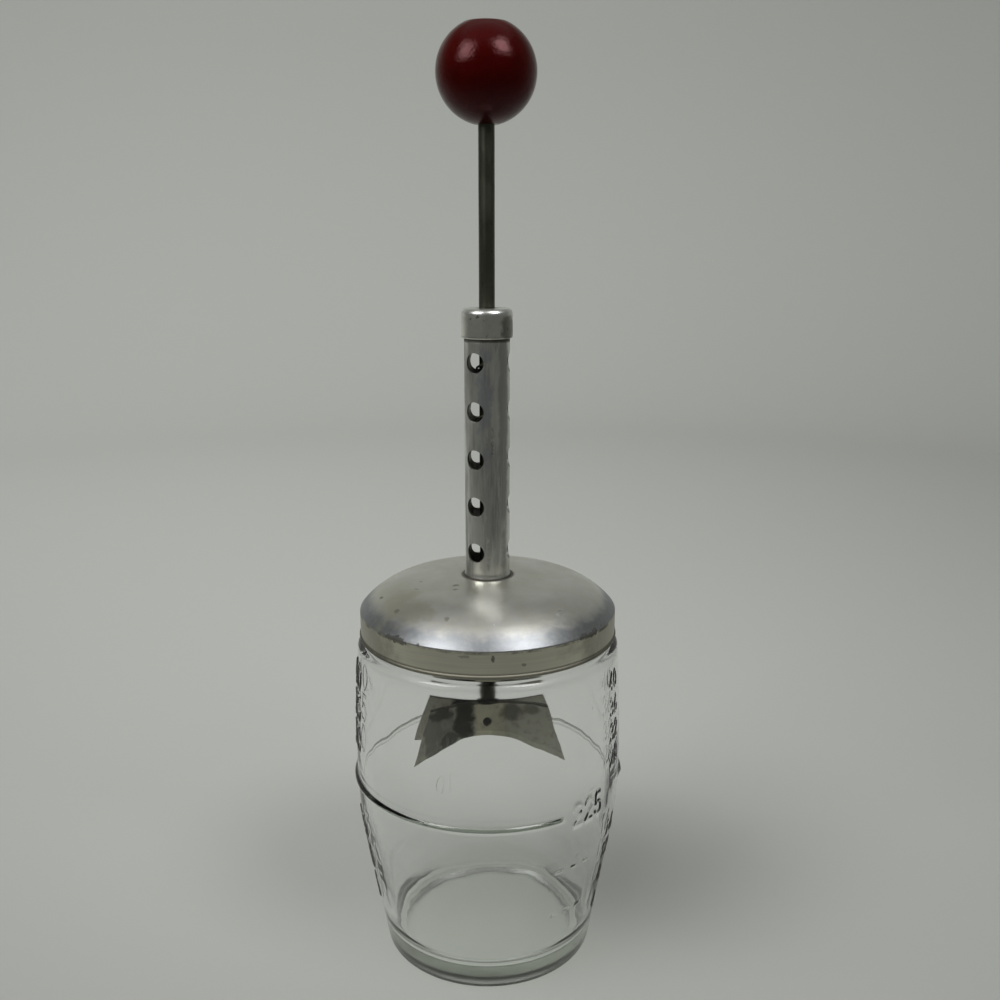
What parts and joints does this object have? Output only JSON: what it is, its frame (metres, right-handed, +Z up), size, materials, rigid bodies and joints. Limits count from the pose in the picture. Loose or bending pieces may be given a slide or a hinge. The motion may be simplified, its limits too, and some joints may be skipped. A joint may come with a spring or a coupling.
{
  "type": "nut chopper",
  "caption": "Hand-pushed nut chopper: a glass jar with a slip-on lid, an upright spring tube and a ball-topped plunger that drives crossed blades down into the jar.",
  "frame": {"origin": "centre of the jar's foot, on the table", "axes": "+Z up along the plunger; -Y is the front, the side that the picture shows"},
  "size_m": [0.0872, 0.0872, 0.2871],
  "materials": {
    "clear_glass": "clear pressed glass, smooth",
    "lid_aluminium": "satin, fine scratches",
    "tube_aluminium": "satin, drawn lengthwise, scuffed",
    "rod_steel": "dull dark steel",
    "spring_steel": "dull spring wire",
    "blade_steel": "dull grey, stained",
    "washer_steel": "dull zinc-grey steel",
    "red_paint": "gloss red enamel on turned wood"
  },
  "bodies": {
    "jar": {"glass_jar": "clear_glass"},
    "lid": {"lid_shell": "lid_aluminium", "spring_tube": "tube_aluminium", "tube_cap": "tube_aluminium", "lower_guide": "washer_steel", "return_spring": "spring_steel"},
    "spring_seat": {"spring_washer": "washer_steel"},
    "plunger": {"plunger_rod": "rod_steel", "knob": "red_paint", "stop_pin": "washer_steel", "blade_front": "blade_steel", "blade_back": "blade_steel", "blade_rivet": "blade_steel", "blade_collar": "rod_steel"}
  },
  "joints": [
    {"name": "lid_lift", "type": "slide", "parent": "jar", "child": "lid", "axis": [0, 0, 1], "range_m": [0, 0.12]},
    {"name": "plunger_press", "type": "slide", "parent": "lid", "child": "spring_seat", "axis": [0, 0, -1], "range_m": [0, 0.051], "stiffness_N_per_m": 600, "springref_m": -0.006, "deforming": ["return_spring"]},
    {"name": "plunger_turn", "type": "hinge", "parent": "spring_seat", "child": "plunger", "pos_m": [0, 0, 0.2], "axis": [0, 0, 1], "continuous": true}
  ]
}
